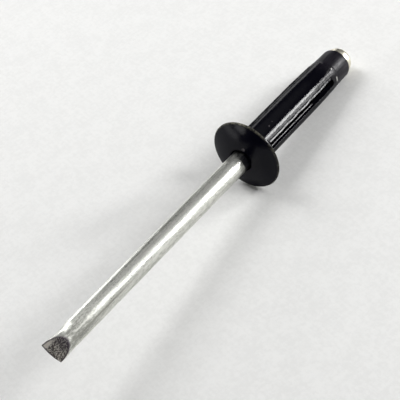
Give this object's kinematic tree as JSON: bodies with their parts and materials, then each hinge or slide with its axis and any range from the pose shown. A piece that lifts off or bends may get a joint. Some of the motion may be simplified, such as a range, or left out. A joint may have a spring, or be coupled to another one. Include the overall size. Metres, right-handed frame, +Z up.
{
  "type": "blind rivet",
  "caption": "Dome-head blind rivet with a long slotted barrel that folds out in legs, on a pull mandrel with a rounded head, a break notch and a pinched tip.",
  "frame": {"origin": "bottom centre of the bounding box of the rivet as it lies at rest, on the surface it lies on", "axes": "+X along the lie of the rivet, toward the tail and the mandrel's head; the axis slopes down that way by about 7.3 degrees, since the flange's rim and the tail's end touch the surface; +Z up; +Y completes the frame, across the rivet"},
  "size_m": [0.0626, 0.01, 0.011],
  "materials": {
    "black_paint": "near-black gloss enamel over aluminium, smooth, with a few specks",
    "bright_aluminium": "bright drawn aluminium with fine lengthwise lines; dull grey-brown on the two pinched faces"
  },
  "bodies": {
    "root": {"rivet_body": "black_paint", "mandrel": "bright_aluminium"}
  },
  "joints": []
}
